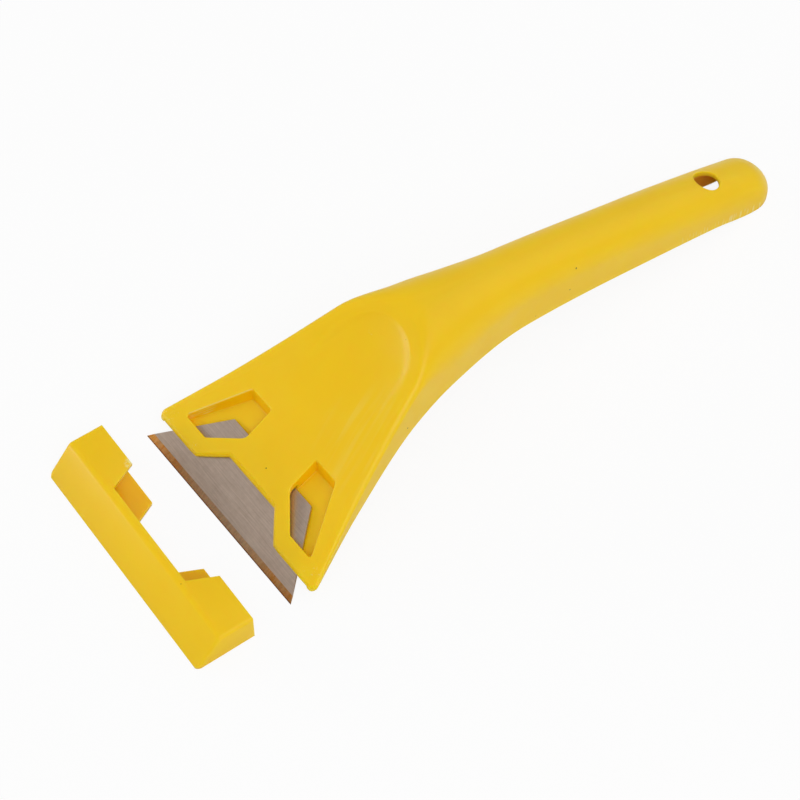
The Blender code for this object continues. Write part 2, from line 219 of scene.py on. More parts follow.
# Plastic: clouds of colour 17 mm across and patches of gloss 4.5 mm across. The grain of a satin mould is
# near 0.05 mm, too fine to show, and is drawn 0.7 mm wide. One speck of 0.6 mm lies in each 9 mm of the
# plastic, and most of them lie too deep to be seen.
HOLDER_COLOURS = ("F8CE14", "F3C70C")
GUARD_COLOURS = ("F9CD12", "F3C50A")
GUARD_SHIFT = 0.4
CLOUDS = 0.06
GLOSS_PATCHES = 0.22
GLOSS_RANGE = {"From Min": 0.3, "From Max": 0.7, "To Min": 0.30, "To Max": 0.38}
SKIN_GRAIN = 1.5
SKIN_STRENGTH = 0.06
SKIN_DEPTH = 0.0001
PLASTIC_IOR = 1.49
PLASTIC_SHINE = 0.30
PLASTIC_GLOW = 0.6
PLASTIC_GLOW_REACH = (0.0015, 0.0024, 0.0024)
SPECK_SPACING = 0.009
SPECK_SIZE = 0.0006
SPECK_COLOUR = "7A5A10"

# Painted sheen: pale streaks 1.8 mm wide, twelve times as long, turned along the right edge of the plate
SHEEN_PLACE = (0.0165, 0.0330, 0.0210)
SHEEN_LENGTH = 0.0170
SHEEN_TURN = math.radians(18)
SHEEN_STRETCH = (1, 12, 12)
SHEEN_STREAKS = 0.56
SHEEN_UPWARD = (0.5, 0.7)
SHEEN_LIMITS = (0.42, 0.72)
SHEEN_STRENGTH = 0.2
SHEEN_COLOUR = "F6DC70"

# Painted shade on the window walls, given for the right window
WALL_SHADE_PLACE = (0.0170, 0.0160, 0.0090)
WALL_SHADE_SIZE = 0.0200
WALL_SHADE_UPRIGHT = (0.6, 0.2)
WALL_SHADE_INWARD = (0.0, 0.002)
WALL_SHADE_COLOUR = "FFC404"

# Scuffs, as place and radius. Rubbing leaves specks near 0.2 mm, which are drawn 0.7 mm wide to show.
SCUFFS = (
    ((-0.0290, 0.0066, 0.0046), 0.0030),
    ((-0.0180, 0.0062, 0.0045), 0.0016),
    ((0.0265, 0.0064, 0.0046), 0.0016),
    ((0.0290, 0.0080, 0.0055), 0.0020),
    ((-0.0250, 0.0100, 0.0060), 0.0014),
    ((-0.0045, 0.0500, 0.0300), 0.0012),
)
SCUFF_GRAIN = {"Scale": 1.4 / MM, "Detail": 4.0, "Roughness": 0.7}
SCUFF_LIMITS = (0.57, 0.70)
SCUFF_STRENGTH = 0.6
# The pale colour of the scuffs, scrapes, ticks and torn burr, also used for the painted rim highlight
SCUFF_AND_HIGHLIGHT_COLOUR = "F8EBA8"

# Scrapes: real ones are near 0.1 mm wide, and are drawn 0.4 mm wide and fourteen times as long
SCRAPE_PLACE = (-0.0232, 0.0122, 0.0068)
SCRAPE_LENGTH = 0.0050
SCRAPE_STRETCH = (14.29, 14.29, 1)
SCRAPE_LINES = 2.6
SCRAPE_UPRIGHT = (0.7, 0.3)
SCRAPE_LIMITS = (0.52, 0.62)
SCRAPE_STRENGTH = 0.28

# Painted highlight on the outer rim of the left window, with the way that its rounding faces and its height
# over the plate's slope
RIM_HIGHLIGHT_PLACE = (-0.0250, 0.0185, 0.0110)
RIM_HIGHLIGHT_LENGTH = 0.016
RIM_HIGHLIGHT_FACING = (0.529, -0.665, 0.530)
RIM_HIGHLIGHT_LIMITS = (0.95, 0.99)
RIM_HIGHLIGHT_LEVEL = PLATE_RISE * math.cos(PLATE_SLOPE)
RIM_HIGHLIGHT_STRENGTH = 0.3

# Ticks on the handle's wall, 0.8 mm apart: where they start across and back, and how high they end over
# the line of the handle's foot
TICKS = 1.3
TICK_STRETCH = (0.0, 1.0, 0.1)
TICK_SLOPE = 0.23
TICK_SIDE = (0.0055, 0.0065)
TICK_START = (0.132, 0.152)
TICK_TOP = 0.0030
TICK_FULL = 0.0018
TICK_LIMITS = (0.54, 0.62)
TICK_STRENGTH = 0.5

# Painted shade on the inner wall seen through the hanging hole
HOLLOW_SHADE_PLACE = (-0.0062, 0.1570, 0.0060)
HOLLOW_SHADE_SIZE = 0.012
HOLLOW_SHADE_INWARD = (0.2, 0.6)
HOLLOW_SHADE_ROOF = (0.0115, 0.0095)
HOLLOW_SHADE_COLOUR = "FFB000"

# Torn burr of the guard, and painted shade on its tabs
TORN_PLACE = (-0.0207, -0.0099, 0.0086)
TORN_SIZE = 0.0022
TORN_LIMITS = (0.42, 0.60)
TORN_STRENGTH = 0.8
TAB_SHADE_UPWARD = (0.5, 0.8)
TAB_SHADE_LOW = (0.0040, 0.0030)
TAB_SHADE_REAR = (-0.0205, -0.0190)
TAB_SHADE_COLOUR = "F9BC00"

# Steel: rolling lines are near 0.03 mm apart and grinding lines near 0.05 mm, too fine to show, and are
# drawn 0.3 mm and 0.4 mm apart. Oxide mottles are 1.4 mm across and heat patches 4 mm.
STEEL_DARK = "AC9888"
STEEL_LIGHT = "DCC8B8"
STEEL_ROUGHNESS = 0.42
STEEL_STRENGTH = 0.12
STEEL_DEPTH = 0.00005
ROLLING_LINES = 3.2
ROLLING_STRETCH = (25, 1, 1)
MOTTLE = 0.7
MOTTLE_LIMITS = (0.35, 0.75)
MOTTLE_STRENGTH = 0.22
MOTTLE_COLOUR = "A08C7C"
HEAT_PATCHES = 0.26
HEAT_RANGE = {"From Min": 0.38, "From Max": 0.62, "To Min": 0.35, "To Max": 1.0}
BROWN_PALE = "A8845C"
BROWN_DEEP = "B87C30"
BEVEL_COLOUR = "A8917C"
BEVEL_ENDS = {"From Min": 0.008, "From Max": 0.024, "To Min": 0.25, "To Max": 1.0}
GRINDING_LINES = 2.4
GRINDING_STRETCH = (1, 8.333, 1)
GRINDING_LIMITS = (0.3, 0.7)
GRINDING_STRENGTH = 0.3
GRINDING_COLOUR = "D8B890"
GRIND_BLUR = 0.00012
HONE_LIMITS = (0.00045, 0.00005)
HONE_COLOUR = "7A4E26"

# Paper floor: clouds 3 mm across. The lift is the share of plain white that the camera sees in it.
WHITE = "FFFFFF"
PAPER_DARK = "F1F1F1"
PAPER_LIGHT = "F3F3F3"
PAPER_CLOUDS = 0.3
PAPER_ROUGHNESS = 0.9
PAPER_SHINE = 0.1
FLOOR_LIFT = 0.9
FLOOR_SIZE = 3

# Camera, by its place from the middle of the cutting edge
CAMERA_TURN = math.radians(52.4354)
CAMERA_PITCH = math.radians(55.1589)
CAMERA_ROLL = math.radians(0.1558)
CAMERA_PLACE = Vector((0.268370, -0.151402, 0.488306))
CAMERA_LENS = 108.0
CAMERA_SENSOR = 36
CAMERA_NEAR = 0.01

# Softboxes: name, direction from the object, distance, width, height and power
SOFTBOXES = (
    ("key", (0.75, -0.25, 1.0), 1.6, 1.1, 1.1, 9.0),
    ("top", (0.1, 0.75, 1.0), 1.6, 1.8, 1.8, 5.0),
    ("strip", (-0.75, -0.62, 0.21), 1.4, 0.9, 0.25, 4.5),
)
ROOM_LEVEL = 0.48

# Where the holder's middle plane and the cutting edge lie in the frame, and where the guard lies
holder_low, holder_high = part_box("scraper_body")
MIDDLE = (holder_low.x + holder_high.x) / 2
EDGE_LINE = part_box("blade")[0].y
TO_FRAME = Matrix.Translation((MIDDLE, EDGE_LINE, 0))
GUARD_PLACE = Matrix.Translation((GUARD_OFFSET, -GUARD_AWAY, 0))
GUARD_FRAME = TO_FRAME @ GUARD_PLACE @ Matrix.Rotation(GUARD_TURN, 4, "Z")


def smooth_through(places, values):
    """A smooth curve through the stations, with no overshoot between two of them."""
    runs = [b - a for a, b in zip(places, places[1:])]
    rises = [(b - a) / run for a, b, run in zip(values, values[1:], runs)]
    slopes = [rises[0]]
    for before, after in zip(rises, rises[1:]):
        turning = before * after <= 0
        slopes.append(0 if turning else 2 * before * after / (before + after))
    slopes.append(rises[-1])

    def value_at(place):
        place = min(max(place, places[0]), places[-1])
        index = sum(place > knot for knot in places[1:-1])
        run = runs[index]
        t = (place - places[index]) / run
        start = values[index] * (1 + 2 * t) * (1 - t) ** 2
        finish = values[index + 1] * t * t * (3 - 2 * t)
        leave = slopes[index] * run * t * (1 - t) ** 2
        arrive = slopes[index + 1] * run * t * t * (t - 1)
        return start + finish + leave + arrive

    return value_at


REACHES, WIDTHS, TOPS, FLOORS, ROUNDS, ROOFS = zip(*STATIONS)
width_at = smooth_through(REACHES, WIDTHS)
top_at = smooth_through(REACHES, TOPS)
floor_at = smooth_through(REACHES[:-1] + (FOOT_REACH, END_REACH), FLOORS[:-1] + (0, 0))
round_at = smooth_through(REACHES, ROUNDS)
roof_at = smooth_through(REACHES, ROOFS)
STRIP_REACHES, STRIP_WIDTHS, STRIP_FALLS = zip(*STRIP_STATIONS)
strip_at = smooth_through(STRIP_REACHES, STRIP_WIDTHS)
fall_at = smooth_through(STRIP_REACHES, STRIP_FALLS)

BLADE_HALF_SLOT = BLADE_THICKNESS / 2 + BLADE_CLEARANCE
STOP_REACH = BLADE_DEPTH * math.cos(BLADE_SLOPE) + BLADE_HALF_SLOT


def blade_height(reach, offset):
    """A plane along the blade, offset square to its middle plane."""
    return reach * math.tan(BLADE_SLOPE) + offset / math.cos(BLADE_SLOPE)


def fade(value, low, high):
    """Rises smoothly from 0 at low to 1 at high."""
    t = min(max((value - low) / (high - low), 0), 1)
    return t * t * (3 - 2 * t)


def scoop_depth(across, reach):
    """How far the thumb scoop and its border lie under the plate and the crown."""
    forward = SCOOP_REACH - reach
    half_width = SCOOP_HALF_WIDTH + SCOOP_SPREAD * fade(forward, 0, SCOOP_FRONT)
    along = forward / SCOOP_FRONT if forward > 0 else forward / SCOOP_REAR
    outward = math.hypot(across / half_width, along)
    border = min(max((BORDER_SHARE - outward) / (BORDER_SHARE - 1), 0), 1)
    depth = BORDER_FALL * border * (1 - fade(forward, 0, SCOOP_FRONT / 2))
    if outward < 1:
        easing = fade(forward, 0, SCOOP_FRONT / 2)
        steep = SCOOP_STEEP_SHARE * (1 - easing) * (1 - outward ** SCOOP_STEEPNESS)
        depth += SCOOP_DEPTH * ((1 - SCOOP_STEEP_SHARE) * (1 - outward ** 2) ** (1 + easing) + steep)
    return depth


def spread(first, last, count):
    """Evenly spaced values from the first to the last."""
    return [first + (last - first) * index / count for index in range(count + 1)]


# The front corners: an arc that meets the straight front edge and the flared side
FLARE = (width_at(FRONT_REACH) - width_at(FRONT_REACH + CORNER_ROUND)) / 2 / CORNER_ROUND
FLARE_LENGTH = math.hypot(1, FLARE)
CORNER_ACROSS = width_at(FRONT_REACH) / 2 - CORNER_ROUND * (FLARE + FLARE_LENGTH)
CORNER_END = FRONT_REACH + CORNER_ROUND * (1 + FLARE / FLARE_LENGTH)


def half_width_at(reach):
    """Half the holder's width, with the rounding of its front corners."""
    if reach > CORNER_END:
        return width_at(reach) / 2
    along = min(abs(reach - FRONT_REACH - CORNER_ROUND), CORNER_ROUND)
    return CORNER_ACROSS + math.sqrt(CORNER_ROUND ** 2 - along ** 2)


def corner_at(reach):
    """Rounding of the upper corners. Over the handle the two nearly meet in one crown."""
    return min(round_at(reach), FULL_CROWN_SHARE * half_width_at(reach))


def surface_height(across, reach):
    """Height of the holder's top surface before the thumb scoop is taken away."""
    rounding = corner_at(reach)
    shoulder = half_width_at(reach) - rounding
    strip = max(strip_at(reach) - rounding, PLATE_SKIN)
    lowered = fall_at(reach) * min(max((abs(across) - shoulder + strip) / strip, 0), 1)
    front = min(max((FRONT_REACH + FRONT_EASE - reach) / FRONT_EASE, 0), 1)
    side = min(max((abs(across) - shoulder) / rounding, 0), 1)
    past = min(math.hypot(front, side), 1)
    if past > 0:
        radius = (front ** 2 * FRONT_EASE + side ** 2 * rounding) / (front ** 2 + side ** 2)
        lowered += radius * (1 - math.sqrt(1 - past ** 2))
    return top_at(reach) - lowered


def holder_section(reach):
    """An upright section of the outside, from its lower left corner over the top to its lower right."""
    half_width = half_width_at(reach)
    rounding = corner_at(reach)
    shoulder = half_width - rounding
    strip = min(max(strip_at(reach) - rounding, PLATE_SKIN), shoulder / 3)
    floor = floor_at(reach)
    spring = surface_height(half_width, reach)
    side = [(half_width, height) for height in spread(floor, spring, WALL_STEPS)[:-1]]
    for step in range(ARC_STEPS):
        angle = math.pi / 2 * step / ARC_STEPS
        across = shoulder + rounding * math.cos(angle)
        side.append((across, surface_height(across, reach)))
    for across in spread(shoulder, shoulder - strip, STRIP_STEPS)[:-1]:
        side.append((across, surface_height(across, reach)))
    inner = shoulder - strip
    plate = []
    for step in range(PLATE_STEPS + 1):
        turn = step / PLATE_STEPS
        across = inner * (2 * (turn - PLATE_CROWDING * math.sin(2 * math.pi * turn)) - 1)
        plate.append((across, surface_height(across, reach)))
    points = [(-across, height) for across, height in side] + plate + side[::-1]
    return [Vector((across, reach, height)) for across, height in points]


def end_sections(inset, roof, floor, count, maker):
    """The handle's rounded end: its side walls close in, and its crown comes down with them."""
    radius = END_WIDTH / 2 - inset
    centre = END_REACH - END_WIDTH / 2
    springing = top_at(centre) - roof - FULL_CROWN_SHARE * radius
    made = []
    for step in range(1, count + 1):
        angle = END_TURN * step / count
        half_width = radius * math.cos(angle)
        crown = FULL_CROWN_SHARE * half_width
        reach = centre + radius * math.sin(angle)
        drop = (top_at(centre) - top_at(END_REACH)) * math.sin(angle)
        made.append(maker(reach, springing - drop + crown, floor, half_width, crown))
    return made


def end_section(reach, top, floor, half_width, crown):
    """A section of the rounded end with as many points as holder_section gives."""
    spring = top - crown
    side = [(half_width, height) for height in spread(floor, spring, WALL_STEPS)[:-1]]
    for step in range(ARC_STEPS):
        angle = math.pi / 2 * step / ARC_STEPS
        side.append((half_width - crown + crown * math.cos(angle), spring + crown * math.sin(angle)))
    shoulder = half_width - crown
    inner = shoulder * END_STRIP_SHARE
    side += [(across, top) for across in spread(shoulder, inner, STRIP_STEPS)[:-1]]
    plate = [(across, top) for across in spread(-inner, inner, PLATE_STEPS)]
    points = [(-across, height) for across, height in side] + plate + side[::-1]
    return [Vector((across, reach, height)) for across, height in points]


def channel_section(reach, top, floor, half_width, crown):
    """A plainer section for the hollow inside, with rounded upper corners."""
    points = [Vector((-half_width, reach, floor))]
    for side in (-1, 1):
        for step in range(ARC_STEPS + 1):
            turn = step / ARC_STEPS if side < 0 else 1 - step / ARC_STEPS
            angle = turn * math.pi / 2
            across = half_width - crown * (1 - math.cos(angle))
            points.append(Vector((side * across, reach, top - crown * (1 - math.sin(angle)))))
    points.append(Vector((half_width, reach, floor)))
    return points


def inner_section(reach, inset, roof, floor):
    """A section of the hollow, inset from the outside."""
    half_width = half_width_at(reach) - inset
    crown = min(max(round_at(reach) - inset, PLATE_SKIN * 2), FULL_CROWN_SHARE * half_width)
    return channel_section(reach, top_at(reach) - roof, floor, half_width, crown)


def loft(sections):
    """A closed solid through sections that have the same number of points."""
    bm = bmesh.new()
    loops = []
    for points in sections:
        corners = [bm.verts.new(point) for point in points]
        loops.append([bm.edges.new(pair) for pair in zip(corners, corners[1:] + corners[:1])])
    for loop, following in zip(loops, loops[1:]):
        bmesh.ops.bridge_loops(bm, edges=loop + following)
    for loop in (loops[0], loops[-1]):
        bmesh.ops.contextual_create(bm, geom=loop)
    bmesh.ops.recalc_face_normals(bm, faces=bm.faces)
    return bm


def make_object(name, bm):
    """Turns a built shape into an object at the origin."""
    mesh = bpy.data.meshes.new(name)
    bm.to_mesh(mesh)
    bm.free()
    thing = bpy.data.objects.new(name, mesh)
    bpy.context.scene.collection.objects.link(thing)
    return thing


def combine(target, bm, operation):
    """Cuts or joins a helper shape at once, and removes the helper."""
    helper = make_object("helper", bm)
    step = target.modifiers.new("join", "BOOLEAN")
    step.operation = operation
    step.object = helper
    step.solver = "EXACT"
    settle(target)
    bpy.data.objects.remove(helper)


def settle(thing):
    """Makes an object's modifiers part of its mesh."""
    bpy.context.view_layer.update()
    graph = bpy.context.evaluated_depsgraph_get()
    mesh = bpy.data.meshes.new_from_object(thing.evaluated_get(graph))
    thing.modifiers.clear()
    thing.data = mesh


def rounded_outline(corners, steps=4):
    """A closed plan outline from corners given as (across, reach, rounding)."""
    points = []
    for before, here, after in zip(corners[-1:] + corners[:-1], corners, corners[1:] + corners[:1]):
        place = Vector(here[:2])
        arriving = (Vector(before[:2]) - place).normalized()
        leaving = (Vector(after[:2]) - place).normalized()
        rounding = here[2]
        if rounding == 0:
            points.append(place)
            continue
        half = arriving.angle(leaving) / 2
        middle = place + (arriving + leaving).normalized() * (rounding / math.sin(half))
        first = place + arriving * (rounding / math.tan(half)) - middle
        last = place + leaving * (rounding / math.tan(half)) - middle
        for step in range(steps + 1):
            points.append(middle + first.slerp(last, step / steps) * rounding)
    return points


def offset_outline(points, distance):
    """Moves each side of a closed outline outwards, or inwards for a negative distance."""
    area = sum(a.x * b.y - b.x * a.y for a, b in zip(points, points[1:] + points[:1]))
    facing = 1 if area > 0 else -1
    moved = []
    for before, here, after in zip(points[-1:] + points[:-1], points, points[1:] + points[:1]):
        arriving = (here - before).normalized()
        leaving = (after - here).normalized()
        first = Vector((arriving.y, -arriving.x)) * facing
        second = Vector((leaving.y, -leaving.x)) * facing
        moved.append(here + (first + second) * (distance / (1 + first.dot(second))))
    return moved


def stacked(rings):
    """A closed solid through plan outlines, each with a function of the place for its height."""
    sections = []
    for outline, height in rings:
        sections.append([Vector((point.x, point.y, height(point.x, point.y))) for point in outline])
    return loft(sections)


def lipped_cutter(outline, floor, lip, fillet):
    """Cuts an outline down from the top surface, with a rounded lip at the rim and a fillet at the floor."""
    rings = [(offset_outline(outline, lip), lambda x, y: surface_height(x, y) + OVERRUN)]
    for angle in LIP_ANGLES:
        turn = math.radians(angle)
        depth = lip * (1 - math.sin(turn))
        wider = offset_outline(outline, lip * (1 - math.cos(turn)))
        rings.append((wider, lambda x, y, depth=depth: surface_height(x, y) - depth))
    if fillet > 0:
        for angle in FILLET_ANGLES:
            turn = math.radians(angle)
            rise = fillet * (1 - math.sin(turn))
            inset = offset_outline(outline, -fillet * (1 - math.cos(turn)))
            rings.append((inset, lambda x, y, rise=rise: floor(y) + rise))
    else:
        rings.append((outline, lambda x, y: floor(y)))
    return stacked(rings)


def window_outline(side):
    """Five-cornered outline of the left or right window."""
    corners = [
        (side * WINDOW_OUTER, WINDOW_FRONT, WINDOW_CORNER),
        (side * WINDOW_HEEL, WINDOW_REAR, WINDOW_CORNER * 2),
        (side * WINDOW_INNER, WINDOW_REAR, WINDOW_CORNER),
        (side * WINDOW_INNER, WINDOW_WAIST, WINDOW_CORNER * 4),
        (side * WINDOW_TOE, WINDOW_FRONT, WINDOW_CORNER * 1.5),
    ]
    return rounded_outline(corners)


def well_floor(reach):
    """The floor under a window, just below the blade."""
    return blade_height(reach, -BLADE_HALF_SLOT - WELL_DROP)


def holder_outside():
    """The whole outside of the moulding, with the scoop pressed into its top."""
    shares = [share ** 2 for share in spread(0, 1, CORNER_STEPS)]
    front = [FRONT_REACH + (CORNER_END - FRONT_REACH) * share for share in shares]
    head = spread(front[-1], SCOOP_START, HEAD_STEPS)[1:]
    scoop = spread(SCOOP_START, SCOOP_END, SCOOP_STEPS)[1:]
    bend = spread(SCOOP_END, THROAT_REACH, BEND_STEPS)[1:]
    handle = spread(THROAT_REACH, END_REACH - END_WIDTH / 2, HANDLE_STEPS)[1:]
    sections = [holder_section(reach) for reach in front + head + scoop + bend + handle]
    sections += end_sections(0, 0, 0, END_STEPS, end_section)
    bm = loft(sections)
    for corner in bm.verts:
        if corner.co.z > surface_height(corner.co.x, corner.co.y) - PLATE_SKIN / 10:
            corner.co.z -= scoop_depth(corner.co.x, corner.co.y)
    return bm


def blade_bay():
    """The hollow under the head, in front of the stop."""
    sections = []
    for reach in spread(FRONT_REACH - OVERRUN, STOP_REACH, BAY_STEPS):
        inside = max(reach, FRONT_REACH + CORNER_ROUND)
        half_width = half_width_at(inside) - SKIRT_WALL
        roof = blade_height(reach, BLADE_HALF_SLOT) + PLATE_SKIN
        sections.append(channel_section(reach, roof, floor_at(inside) - 2 * OVERRUN, half_width, PLATE_SKIN))
    return loft(sections)


def handle_channel():
    """The hollow of the neck and the handle, open underneath."""
    reaches = spread(STOP_REACH + STOP_THICKNESS, NECK_REACH, NECK_STEPS)
    reaches += spread(NECK_REACH, THROAT_REACH, HOLLOW_STEPS)[1:]
    reaches += spread(THROAT_REACH, END_REACH - END_WIDTH / 2, HOLLOW_STEPS)[1:]
    sections = []
    for reach in reaches:
        sections.append(inner_section(reach, HANDLE_WALL, roof_at(reach), floor_at(reach) - OVERRUN))
    return loft(sections + end_sections(HANDLE_WALL, ROOFS[-1], -OVERRUN, HOLLOW_END_STEPS, channel_section))


def cross_rib(share):
    """A rib across the hollow, at a share of the holder's length."""
    reach = share * END_REACH
    sections = []
    for place in (reach, reach + RIB_THICKNESS):
        lower = floor_at(place) + RIB_RECESS
        sections.append(inner_section(place, HANDLE_WALL / 2, roof_at(place) / 2, lower))
    return loft(sections)


def well(side):
    """The block under the plate that a window is cut into."""
    outline = offset_outline(window_outline(side), WELL_WALL)
    return stacked(
        [
            (outline, lambda x, y: well_floor(y) - WELL_FLOOR),
            (outline, lambda x, y: plate_height(y) - PLATE_SKIN),
        ]
    )


def blade_slot():
    """The room for the blade, through the front and through both wells."""
    taper = (BLADE_EDGE - BLADE_BACK) / 2 / BLADE_DEPTH
    half_front = BLADE_EDGE / 2 + BLADE_SIDE_PLAY + taper * OVERRUN
    half_back = BLADE_BACK / 2 + BLADE_SIDE_PLAY
    corners = [
        (-half_front, -OVERRUN, 0),
        (half_front, -OVERRUN, 0),
        (half_back, STOP_REACH, 0),
        (-half_back, STOP_REACH, 0),
    ]
    outline = rounded_outline(corners)
    return stacked(
        [
            (outline, lambda x, y: blade_height(y, -BLADE_HALF_SLOT + SLOT_STEP)),
            (outline, lambda x, y: blade_height(y, BLADE_HALF_SLOT + SLOT_HEADROOM)),
        ]
    )


def front_recess():
    """The notch in the front edge, with slanted sides and a lip."""
    corners = [
        (-RECESS_MOUTH / 2 - 2 * OVERRUN, FRONT_REACH - OVERRUN, 0),
        (RECESS_MOUTH / 2 + 2 * OVERRUN, FRONT_REACH - OVERRUN, 0),
        (RECESS_MOUTH / 2 + 2 * OVERRUN, FRONT_REACH - RECESS_LIP, 0),
        (RECESS_MOUTH / 2, FRONT_REACH, RECESS_CORNER),
        (RECESS_WIDTH / 2, RECESS_REACH, RECESS_CORNER / 2),
        (-RECESS_WIDTH / 2, RECESS_REACH, RECESS_CORNER / 2),
        (-RECESS_MOUTH / 2, FRONT_REACH, RECESS_CORNER),
        (-RECESS_MOUTH / 2 - 2 * OVERRUN, FRONT_REACH - RECESS_LIP, 0),
    ]
    return lipped_cutter(rounded_outline(corners), lambda reach: -OVERRUN, RECESS_LIP, 0)


def hanging_hole():
    """The round hole through the crown of the handle."""
    bm = bmesh.new()
    bmesh.ops.create_circle(bm, segments=HOLE_STEPS, radius=HOLE_DIAMETER / 2)
    outline = [Vector((corner.co.x, corner.co.y + HOLE_REACH)) for corner in bm.verts]
    bm.free()
    return lipped_cutter(outline, lambda reach: -OVERRUN, HOLE_LIP, 0)


def make_holder(material):
    """The one-piece body: hollowed, ribbed, and given its wells, windows, slot, recess and hole."""
    holder = make_object("holder_moulding", holder_outside())
    combine(holder, blade_bay(), "DIFFERENCE")
    combine(holder, handle_channel(), "DIFFERENCE")
    for share in RIB_PLACE_SHARES:
        combine(holder, cross_rib(share), "UNION")
    for side in (-1, 1):
        combine(holder, well(side), "UNION")
        window = lipped_cutter(window_outline(side), well_floor, WINDOW_LIP, WELL_FILLET)
        combine(holder, window, "DIFFERENCE")
    combine(holder, blade_slot(), "DIFFERENCE")
    combine(holder, front_recess(), "DIFFERENCE")
    combine(holder, hanging_hole(), "DIFFERENCE")
    return dress(holder, TO_FRAME, material, "holder", "scraper_body")


def dress(thing, place, material, body, node):
    """Puts a finished piece in the frame, shades it and ties it to its CAD body."""
    thing.data.transform(place)
    thing.data.materials.clear()
    thing.data.materials.append(material)
    thing.data.shade_smooth()
    thing.data.set_sharp_from_angle(angle=SHARP_ANGLE)
    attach(thing, body)
    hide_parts(node)
    return thing


def make_blade(material):
    """The blade lies flat while it is made: a trapezoid with two ground bevels and a fine honed edge."""
    taper = (BLADE_EDGE - BLADE_BACK) / 2 / BLADE_DEPTH
    bm = bmesh.new()
    for back, thickness in (
        (0, 0),
        (HONE_WIDTH, HONE_THICKNESS),
        (BLADE_GRIND, BLADE_THICKNESS),
        (BLADE_DEPTH, BLADE_THICKNESS),
    ):
        half_width = BLADE_EDGE / 2 - taper * back
        for side in (-1, 1):
            for face in (-1, 1):
                bm.verts.new((side * half_width, back, face * thickness / 2))
    bmesh.ops.convex_hull(bm, input=bm.verts)
    bmesh.ops.dissolve_limit(bm, angle_limit=FLAT_ANGLE, verts=bm.verts, edges=bm.edges)
    bmesh.ops.recalc_face_normals(bm, faces=bm.faces)
    place = TO_FRAME @ Matrix.Translation((BLADE_OFFSET, 0, 0)) @ Matrix.Rotation(BLADE_SLOPE, 4, "X")
    thing = make_object("trapezoid_blade", bm)
    dress(thing, place, material, "edge", "blade")
    thing.data.set_sharp_from_angle(angle=BLADE_SHARP_ANGLE)
    return thing


def guard_side():
    """Side outline of the guard: flat base, sloped nose and a top that falls a little to the rear."""
    return [
        Vector((0, 0)),
        Vector((GUARD_DEPTH, 0)),
        Vector((GUARD_DEPTH, GUARD_REAR_HEIGHT)),
        Vector((GUARD_NOSE, GUARD_HEIGHT)),
    ]


def guard_bar(outline, length):
    """A side outline drawn across the guard, centred on it."""
    bm = bmesh.new()
    side = bm.faces.new([bm.verts.new((-length / 2, point.x, point.y)) for point in outline])
    grown = bmesh.ops.extrude_face_region(bm, geom=[side])["geom"]
    corners = [corner for corner in grown if isinstance(corner, bmesh.types.BMVert)]
    bmesh.ops.translate(bm, verts=corners, vec=(length, 0, 0))
    bmesh.ops.recalc_face_normals(bm, faces=bm.faces)
    return bm


def guard_rounding(edge):
    """How far an edge of the guard's outside is rounded."""
    middle = (edge.verts[0].co + edge.verts[1].co) / 2
    if middle.y > GUARD_DEPTH - GUARD_ROUND:
        return GUARD_REAR_ROUND
    return GUARD_ROUND if abs(middle.x) < GUARD_LENGTH / 4 else GUARD_END_ROUND


def guard_plan():
    """An upright prism that rounds the guard's front corners in plan."""
    half = GUARD_LENGTH / 2 + PLAN_PLAY
    corners = [
        (-half, 0, GUARD_CORNER),
        (half, 0, GUARD_CORNER),
        (half, GUARD_DEPTH + OVERRUN, 0),
        (-half, GUARD_DEPTH + OVERRUN, 0),
    ]
    outline = rounded_outline(corners, GUARD_PLAN_STEPS)
    return stacked([(outline, lambda x, y: -OVERRUN), (outline, lambda x, y: GUARD_HEIGHT + OVERRUN)])


def guard_outside():
    """The guard before it is hollowed: a bar with rounded edges, cut to its rounded plan."""
    bm = guard_bar(guard_side(), GUARD_LENGTH)
    weights = bm.edges.layers.float.new("bevel_weight_edge")
    for edge in bm.edges:
        edge[weights] = guard_rounding(edge) / GUARD_END_ROUND
    guard = make_object("blade_guard_moulding", bm)
    rounding = guard.modifiers.new("rounding", "BEVEL")
    rounding.limit_method = "WEIGHT"
    rounding.width = GUARD_END_ROUND
    rounding.segments = GUARD_ROUND_STEPS
    settle(guard)
    combine(guard, guard_plan(), "INTERSECT")
    return guard


def guard_gap(front, rear, low, high):
    """The cut that leaves two flaps or tabs on either side of the bridge."""
    mouth = rear + (rear - front) / (GUARD_DEPTH - GUARD_BRIDGE) * OVERRUN
    corners = [
        (-front / 2, GUARD_BRIDGE, 0),
        (front / 2, GUARD_BRIDGE, 0),
        (mouth / 2, GUARD_DEPTH + OVERRUN, 0),
        (-mouth / 2, GUARD_DEPTH + OVERRUN, 0),
    ]
    outline = rounded_outline(corners)
    return stacked([(outline, lambda x, y: low), (outline, lambda x, y: high)])


def make_guard(material):
    """The guard: hollow, open to the rear, with a gap between its flaps and another between its tabs."""
    guard = guard_outside()
    inner = offset_outline(guard_side(), -GUARD_WALL)
    for corner in inner:
        if corner.x > GUARD_DEPTH / 2:
            corner.x = GUARD_DEPTH + OVERRUN
    combine(guard, guard_bar(inner, GUARD_LENGTH - 2 * GUARD_WALL), "DIFFERENCE")
    middle = GUARD_REAR_HEIGHT / 2
    combine(guard, guard_gap(FLAP_GAP_FRONT, FLAP_GAP_REAR, middle, GUARD_HEIGHT + OVERRUN), "DIFFERENCE")
    combine(guard, guard_gap(TAB_GAP_FRONT, TAB_GAP_REAR, -OVERRUN, middle), "DIFFERENCE")
    trim = guard.modifiers.new("trim", "BEVEL")
    trim.width = TRIM_ROUND
    trim.segments = TRIM_STEPS
    trim.limit_method = "ANGLE"
    trim.angle_limit = TRIM_ANGLE
    trim.use_clamp_overlap = True
    settle(guard)
    return dress(guard, GUARD_FRAME, material, "guard", "blade_guard")


